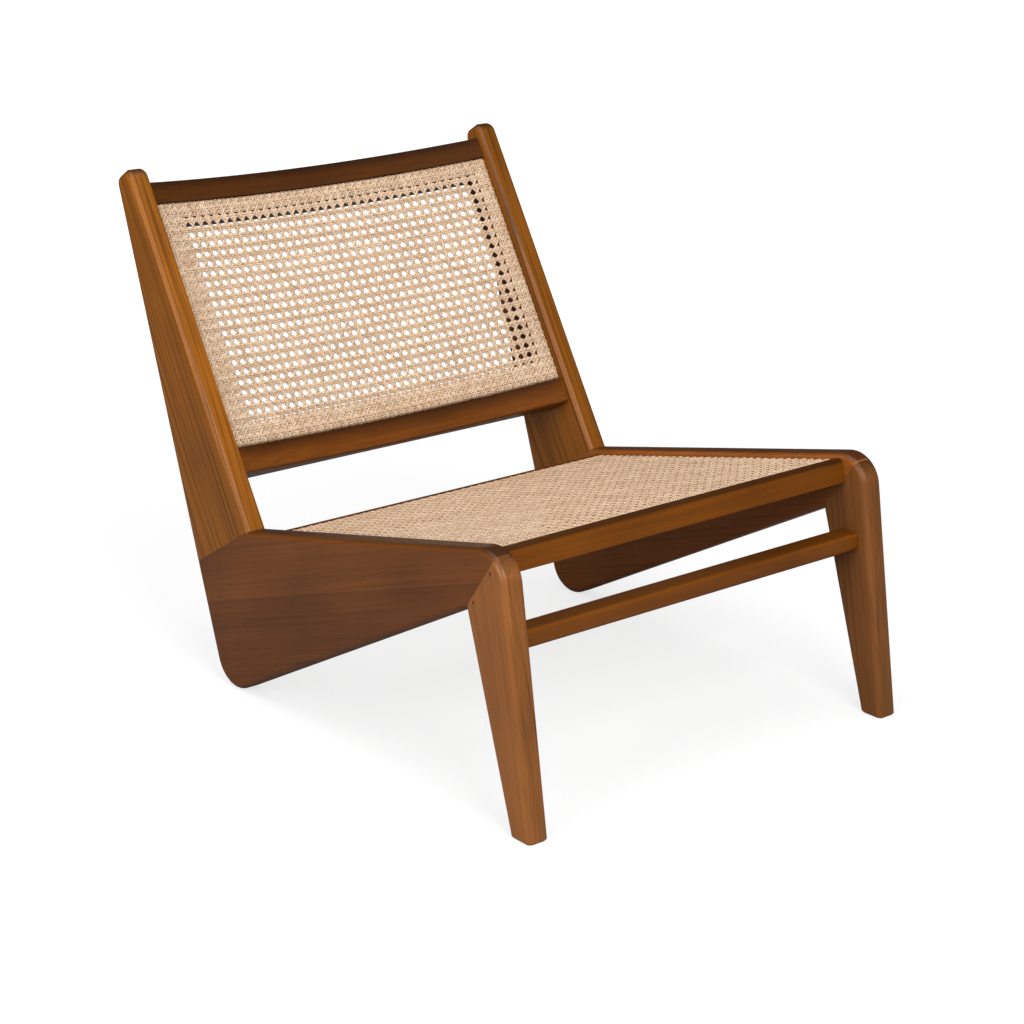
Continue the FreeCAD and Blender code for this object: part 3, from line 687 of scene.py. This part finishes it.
def paired_strands(builder, layers, half_width, half_length, chance, turned, shift=0.0, breadth=1.0):
    """Lays paired strands along Y, or along X where turned, flat into a bmesh."""
    cane = settings("cane")
    rows_per_mesh = 6
    narrowest, widest = 0.9, 1.06
    # Radians of side-to-side wander for each metre of a strand.
    wander_rate = 60
    shades, edges = layers
    wide, long = (half_length, half_width) if turned else (half_width, half_length)
    count = math.ceil(wide / cane.mesh) + 1
    rows = 2 * (math.ceil(long / cane.mesh) + 1) * rows_per_mesh
    length = rows * cane.mesh / rows_per_mesh
    made = []
    for index in range(-count, count + 1):
        for side in (-1, 1):
            shade = chance.random()
            drift = chance.uniform(-1, 1) * cane.wander
            width = breadth * cane.strand_width * chance.uniform(narrowest, widest)
            phase = chance.uniform(0, 2 * math.pi)
            middle = (index + shift) * cane.mesh + side * breadth * cane.pair_spacing / 2 + drift
            for vert in strip(builder, width, length, rows):
                vert[shades] = shade
                vert[edges] = math.copysign(1, vert.co.x)
                vert.co.z = pair_height(vert.co.y - shift * cane.mesh, -side if turned else side)
                vert.co.x += middle + cane.wander * math.sin(vert.co.y * wander_rate + phase)
                if turned:
                    vert.co.x, vert.co.y = vert.co.y, vert.co.x
                made.append(vert)
    if turned:
        mirrored = {face for vert in made for face in vert.link_faces}
        bmesh.ops.reverse_faces(builder, faces=list(mirrored))


def diagonal_strands(builder, layers, half_width, half_length, chance):
    """Lays the slanting strands both ways flat into a bmesh."""
    cane = settings("cane")
    rows_per_mesh = 4
    narrowest, widest = 0.88, 1.08
    shades, edges = layers
    rows = 2 * (math.ceil(half_length / cane.mesh) + 1) * rows_per_mesh
    length = rows * cane.mesh / rows_per_mesh
    half_row = cane.mesh / rows_per_mesh / 2
    count = math.ceil((half_width + half_length) / cane.mesh) + 2
    for way in (1, -1):
        for index in range(-count, count):
            shade = chance.random()
            width = cane.diagonal_width * math.sqrt(2) * chance.uniform(narrowest, widest)
            middle = (index + 0.5) * cane.mesh + chance.uniform(-1, 1) * cane.wander
            for vert in strip(builder, width, length, rows):
                vert[shades] = shade
                vert[edges] = math.copysign(1, vert.co.x)
                vert.co.y += half_row
                slant = middle + way * vert.co.y
                vert.co.z = diagonal_height(slant, way)
                vert.co.x += slant


def keep_border(builder, half_width, half_length, border):
    """Cuts out the middle of a flat weave, so that only a border is left."""
    low = Vector((border[0] - half_width, border[2] - half_length, 0))
    high = Vector((half_width - border[1], half_length - border[3], 0))
    for corner in (low, high):
        for normal in ((1, 0, 0), (0, 1, 0)):
            bmesh.ops.bisect_plane(
                builder, geom=builder.verts[:] + builder.edges[:] + builder.faces[:],
                plane_co=corner, plane_no=normal)
    inside = []
    for face in builder.faces:
        middle = face.calc_center_median()
        if low.x < middle.x < high.x and low.y < middle.y < high.y:
            inside.append(face)
    bmesh.ops.delete(builder, geom=inside, context="FACES")


def finish_weave(builder, place, level=0.0):
    """Takes a flat weave to its place on the chair and gives the strands their thickness."""
    cane = settings("cane")
    for vert in builder.verts:
        vert.co = place(vert.co + Vector((0, 0, level)))
    bmesh.ops.solidify(builder, geom=builder.faces[:], thickness=cane.strand_thickness)
    bmesh.ops.recalc_face_normals(builder, faces=builder.faces)
    for face in builder.faces:
        face.smooth = True


def darken_edges(builder, shades, half_width, half_length):
    """Deepens the shade of strands where they roll over the panel's edge."""
    cane = settings("cane")
    edge = cane.bed + cane.roll_radius
    for vert in builder.verts:
        if abs(vert.co.x) > half_width - edge or abs(vert.co.y) > half_length - edge:
            vert[shades] += cane.edge_shade


def weave_panel(name, nodes, half_width, half_length, place, seed, border, shift=(0, 0)):
    """The layers of a caned panel: long, cross and slanting strands, and a doubled border."""
    cane = settings("cane")
    off_centre = Vector((*shift, 0)) * cane.mesh
    chance = random.Random(seed)
    wide = flat_reach(half_width)
    long = flat_reach(half_length)
    for layer in ("long_strands", "cross_strands", "slanting_strands", "border_strands"):
        builder = bmesh.new()
        marks = strand_layers(builder)
        level = 0.0
        if layer == "slanting_strands":
            diagonal_strands(builder, marks, wide, long, chance)
        elif layer == "border_strands":
            level = -cane.border_depth
            for turned in (False, True):
                paired_strands(builder, marks, wide, long, chance, turned, shift=0.5,
                               breadth=cane.border_breadth)
        else:
            paired_strands(builder, marks, wide, long, chance, layer == "cross_strands")
        bmesh.ops.translate(builder, verts=builder.verts, vec=off_centre)
        if layer == "border_strands":
            keep_border(builder, half_width, half_length, border)
        clip(builder, wide, long)
        darken_edges(builder, marks[0], half_width, half_length)
        finish_weave(builder, place, level)
        new_piece(name + "_" + layer, builder, cane_material(), "cane", nodes)


class CHAIR_OT_finish_boards(bpy.types.Operator):
    """Finish the uprights, side panels and front legs"""

    bl_idname = "chair.finish_boards"
    bl_label = "Finish boards"

    def execute(self, context):
        wood = settings("wood")
        boards = {
            "back_upright": (
                wood.upright_color, wood.left_upright_tone_and_shade, wood.upright_grain, "upright_wood",
                wood.upright_figure, 0.0),
            "side_panel": (
                wood.panel_color, wood.left_panel_painted_light, wood.panel_grain, "panel_wood",
                wood.panel_figure, wood.stave_tone),
            "front_leg": (
                wood.leg_color, wood.left_leg_painted_shade, wood.leg_grain, "upright_wood",
                wood.leg_figure, 0.0),
        }
        # Each pair of boards comes from further along the log, the left one from its other half.
        log_step = Vector((0.22, 1.66, 0.14))
        left_step = 0.83
        right_place = Vector((0.16, 0.0, 0.02))
        for board, (color, left_tone, grain, slot, figure, stave_tone) in boards.items():
            right_place = right_place + log_step
            left_place = Vector((-right_place.x, right_place.y - left_step, right_place.z))
            for side in SIDES:
                node = board + "_" + side
                place = left_place if side == "left" else right_place
                # The left boards' tones paint light and shade: a darker far leg, a brighter shaded left
                # panel, and a left upright darker partly from its wood.
                tone = left_tone if side == "left" else 1
                stain = [tone * channel for channel in color]
                turn = (-grain, 0, 0)
                material = wood_material(node + " wood", stain, turn, place, figure, stave_tone)
                smooth_board(node, material, slot)
        return {"FINISHED"}


class CHAIR_OT_finish_rails(bpy.types.Operator):
    """Finish the rails, the stretcher and the seat cleats"""

    bl_idname = "chair.finish_rails"
    bl_label = "Finish rails"

    def execute(self, context):
        wood = settings("wood")
        rails = ["seat_front_rail", "seat_back_rail", "front_stretcher"]
        rails += ["back_bottom_rail", "back_top_rail"]
        rails += ["seat_cleat_" + side for side in SIDES]
        log_step = Vector((0.09, 0.67, 0.05))
        place = Vector((0.20, 0.0, 0.10))
        for node in rails:
            place = place + log_step
            turn = (0, 0, math.pi / 2) if "cleat" not in node else (0, 0, 0)
            color = wood.back_rail_color if node.startswith("back") else wood.rail_color
            tone = wood.top_rail_tone if node == "back_top_rail" else 1
            stain = [tone * channel for channel in color]
            material = wood_material(node + " wood", stain, turn, place, wood.rail_figure)
            # The front rail's painted top shade reaches further down its rounded edge.
            edge_gain = wood.front_rail_shade_gain if node == "seat_front_rail" else 1.0
            smooth_board(node, material, "rail_wood", edge_gain)
        return {"FINISHED"}


class CHAIR_OT_finish_joinery(bpy.types.Operator):
    """Colour the caned panels' frames, the pegs and the hidden joinery"""

    bl_idname = "chair.finish_joinery"
    bl_label = "Finish joinery"

    def execute(self, context):
        cane = settings("cane")
        wood = settings("wood")
        stain, figure = wood.frame_color, wood.rail_figure
        crosswise = (0, 0, math.pi / 2)
        place = Vector((0.30, 0.20, 0.15))
        turns = {"back": (cane.back_pitch - math.pi / 2, 0, 0), "seat": (cane.seat_pitch, 0, 0)}
        for panel, lengthwise in turns.items():
            along = wood_material(panel + " frame sides", stain, lengthwise, place, figure)
            athwart = wood_material(panel + " frame ends", stain, crosswise, place, figure)
            for node in CANE_FRAMES:
                if node.startswith(panel):
                    dress(node, along if "stile" in node or "side" in node else athwart)
        inner = plain_material("Inner joinery", stain, roughness=0.7)
        for node in INNER_JOINERY:
            dress(node, inner)
        dress("mitre_pegs", plain_material("Peg end grain", wood.peg_color, roughness=0.5))
        return {"FINISHED"}


class CHAIR_OT_weave_back(bpy.types.Operator):
    """Weave the bowed cane of the back"""

    bl_idname = "chair.weave_back"
    bl_label = "Weave back"

    def execute(self, context):
        cane = settings("cane")
        low, high = in_axes(BACK_CANE, cane.back_pitch)
        half_width = (high.x - low.x) / 2
        half_length = (high.z - low.z) / 2
        middle = (low.z + high.z) / 2
        front = high.y - cane.cad_roll_depth
        radius = cane.bow_radius
        lean = Matrix.Rotation(-cane.back_pitch, 3, "X")

        def place(point):
            across, along, depth = on_panel(point, half_width, half_length)
            behind = front - radius + math.sqrt((radius + depth) ** 2 - across ** 2)
            return lean @ Vector((across, behind, middle + along))

        weave_panel("back", BACK_CANE, half_width, half_length, place, seed=11,
                    border=cane.back_border, shift=cane.back_shift)
        return {"FINISHED"}


class CHAIR_OT_weave_seat(bpy.types.Operator):
    """Weave the flat cane of the seat"""

    bl_idname = "chair.weave_seat"
    bl_label = "Weave seat"

    def execute(self, context):
        cane = settings("cane")
        low, high = in_axes(SEAT_CANE, cane.seat_pitch)
        half_width = (high.x - low.x) / 2
        half_length = (high.y - low.y) / 2
        middle = (low.y + high.y) / 2
        lean = Matrix.Rotation(-cane.seat_pitch, 3, "X")

        def place(point):
            across, along, depth = on_panel(point, half_width, half_length)
            return lean @ Vector((across, middle + along, high.z - depth))

        weave_panel("seat", SEAT_CANE, half_width, half_length, place, seed=23,
                    border=cane.seat_border)
        return {"FINISHED"}


class CHAIR_OT_set_stage(bpy.types.Operator):
    """Set the floor, the lights and the camera"""

    bl_idname = "chair.set_stage"
    bl_label = "Set stage"

    def execute(self, context):
        stage = settings("stage")
        add_floor(stage)
        add_room(stage)
        add_lights()
        add_camera(stage)
        context.scene.view_settings.view_transform = "Standard"
        return {"FINISHED"}


def add_floor(stage):
    """Floor that glows white to the camera, so that only shadows show on it."""
    roughness, shine = 0.9, 0.1
    glow_start, glow_end = stage.glow_range
    builder = bmesh.new()
    bmesh.ops.create_grid(builder, x_segments=1, y_segments=1, size=stage.floor_size / 2)
    mesh = bpy.data.meshes.new("Floor")
    builder.to_mesh(mesh)
    builder.free()
    material, tree, shader = new_material("Floor white")
    connect(tree, stage.floor_color, shader.inputs["Base Color"])
    shader.inputs["Roughness"].default_value = roughness
    shader.inputs["Specular IOR Level"].default_value = shine
    shader.inputs["Emission Color"].default_value = (1, 1, 1, 1)
    source = tree.nodes.new("ShaderNodeTexCoord")
    distance = tree.nodes.new("ShaderNodeVectorMath")
    distance.operation = "LENGTH"
    tree.links.new(source.outputs["Object"], distance.inputs[0])
    glow = new_node(tree, "ShaderNodeMapRange", interpolation_type="SMOOTHSTEP", From_Min=glow_start,
                    From_Max=glow_end, To_Min=stage.floor_glow, To_Max=stage.far_glow)
    tree.links.new(distance.outputs["Value"], glow.inputs["Value"])
    path = tree.nodes.new("ShaderNodeLightPath")
    seen = calculate(tree, "MULTIPLY", path.outputs["Is Camera Ray"], glow.outputs["Result"])
    tree.links.new(seen, shader.inputs["Emission Strength"])
    mesh.materials.append(material)
    floor = bpy.data.objects.new("Floor", mesh)
    bpy.context.scene.collection.objects.link(floor)


def add_room(stage):
    """White room: pure white to the camera, softer as a light and in reflections."""
    world = bpy.data.worlds.new("White room")
    world.use_nodes = True
    bpy.context.scene.world = world
    tree = world.node_tree
    background = tree.nodes["Background"]
    background.inputs["Color"].default_value = (1, 1, 1, 1)
    path = tree.nodes.new("ShaderNodeLightPath")
    reflected = new_node(
        tree, "ShaderNodeMapRange", To_Min=stage.room_light, To_Max=stage.room_reflection)
    tree.links.new(path.outputs["Is Glossy Ray"], reflected.inputs["Value"])
    strength = new_node(tree, "ShaderNodeMapRange", To_Max=1.0)
    tree.links.new(path.outputs["Is Camera Ray"], strength.inputs["Value"])
    tree.links.new(reflected.outputs["Result"], strength.inputs["To Min"])
    tree.links.new(strength.outputs["Result"], background.inputs["Strength"])


def add_lights():
    """Soft lights: a wide one overhead, a key from the front and a fill from the near side."""
    # Each light's place, the point that it faces, the length of its sides and its watts.
    lights = {
        "Overhead": ((-0.3, -0.1, 2.8), (0, 0, 0.2), 2.4, 45),
        "Front key": ((-0.8, -2.6, 2.2), (0, 0, 0.3), 1.3, 55),
        "Near fill": ((-3.0, -0.6, 1.3), (0, 0, 0.3), 1.6, 42),
    }
    for name, (place, target, size, power) in lights.items():
        light = bpy.data.lights.new(name, "AREA")
        light.shape = "SQUARE"
        light.size = size
        light.energy = power
        lamp = bpy.data.objects.new(name, light)
        lamp.location = place
        way = Vector(target) - Vector(place)
        lamp.rotation_euler = way.to_track_quat("-Z", "Y").to_euler()
        bpy.context.scene.collection.objects.link(lamp)


def add_camera(stage):
    """Camera at the photograph's place."""
    farthest_seen = 100.0
    azimuth = stage.camera_azimuth
    elevation = stage.camera_elevation
    level = math.cos(elevation)
    back = Vector((math.sin(azimuth) * level, -math.cos(azimuth) * level, math.sin(elevation)))
    right = Vector((math.cos(azimuth), math.sin(azimuth), 0))
    up = back.cross(right)
    turn = Matrix((right, up, back)).transposed() @ Matrix.Rotation(-stage.camera_roll, 3, "Z")
    camera = bpy.data.cameras.new("Camera")
    camera.sensor_width = stage.sensor
    camera.lens = stage.lens
    camera.clip_end = farthest_seen
    eye = bpy.data.objects.new("Camera", camera)
    eye.matrix_world = Matrix.Translation(stage.camera_place) @ turn.to_4x4()
    bpy.context.scene.collection.objects.link(eye)
    bpy.context.scene.camera = eye


class CHAIR_PT_build(bpy.types.Panel):
    """Steps that build the chair"""

    bl_label = "Caned lounge chair"
    bl_idname = "CHAIR_PT_build"
    bl_space_type = "VIEW_3D"
    bl_region_type = "UI"
    bl_category = "Chair"

    def draw(self, context):
        for step in STEPS:
            self.layout.operator(step.bl_idname)


STEPS = (
    CHAIR_OT_finish_boards,
    CHAIR_OT_finish_rails,
    CHAIR_OT_finish_joinery,
    CHAIR_OT_weave_back,
    CHAIR_OT_weave_seat,
    CHAIR_OT_set_stage,
)
SETTINGS = {"wood": ChairWoodSettings, "cane": ChairCaneSettings, "stage": ChairStageSettings}


def register():
    for group in SETTINGS.values():
        bpy.utils.register_class(group)
    for name, group in SETTINGS.items():
        setattr(bpy.types.Scene, "chair_" + name, bpy.props.PointerProperty(type=group))
    for item in STEPS + (CHAIR_PT_build,):
        bpy.utils.register_class(item)


def unregister():
    for item in reversed(STEPS + (CHAIR_PT_build,)):
        bpy.utils.unregister_class(item)
    for name in SETTINGS:
        delattr(bpy.types.Scene, "chair_" + name)
    for group in reversed(SETTINGS.values()):
        bpy.utils.unregister_class(group)


def main():
    register()
    bpy.ops.chair.finish_boards()
    bpy.ops.chair.finish_rails()
    bpy.ops.chair.finish_joinery()
    bpy.ops.chair.weave_back()
    bpy.ops.chair.weave_seat()
    bpy.ops.chair.set_stage()


if __name__ == "__main__":
    main()
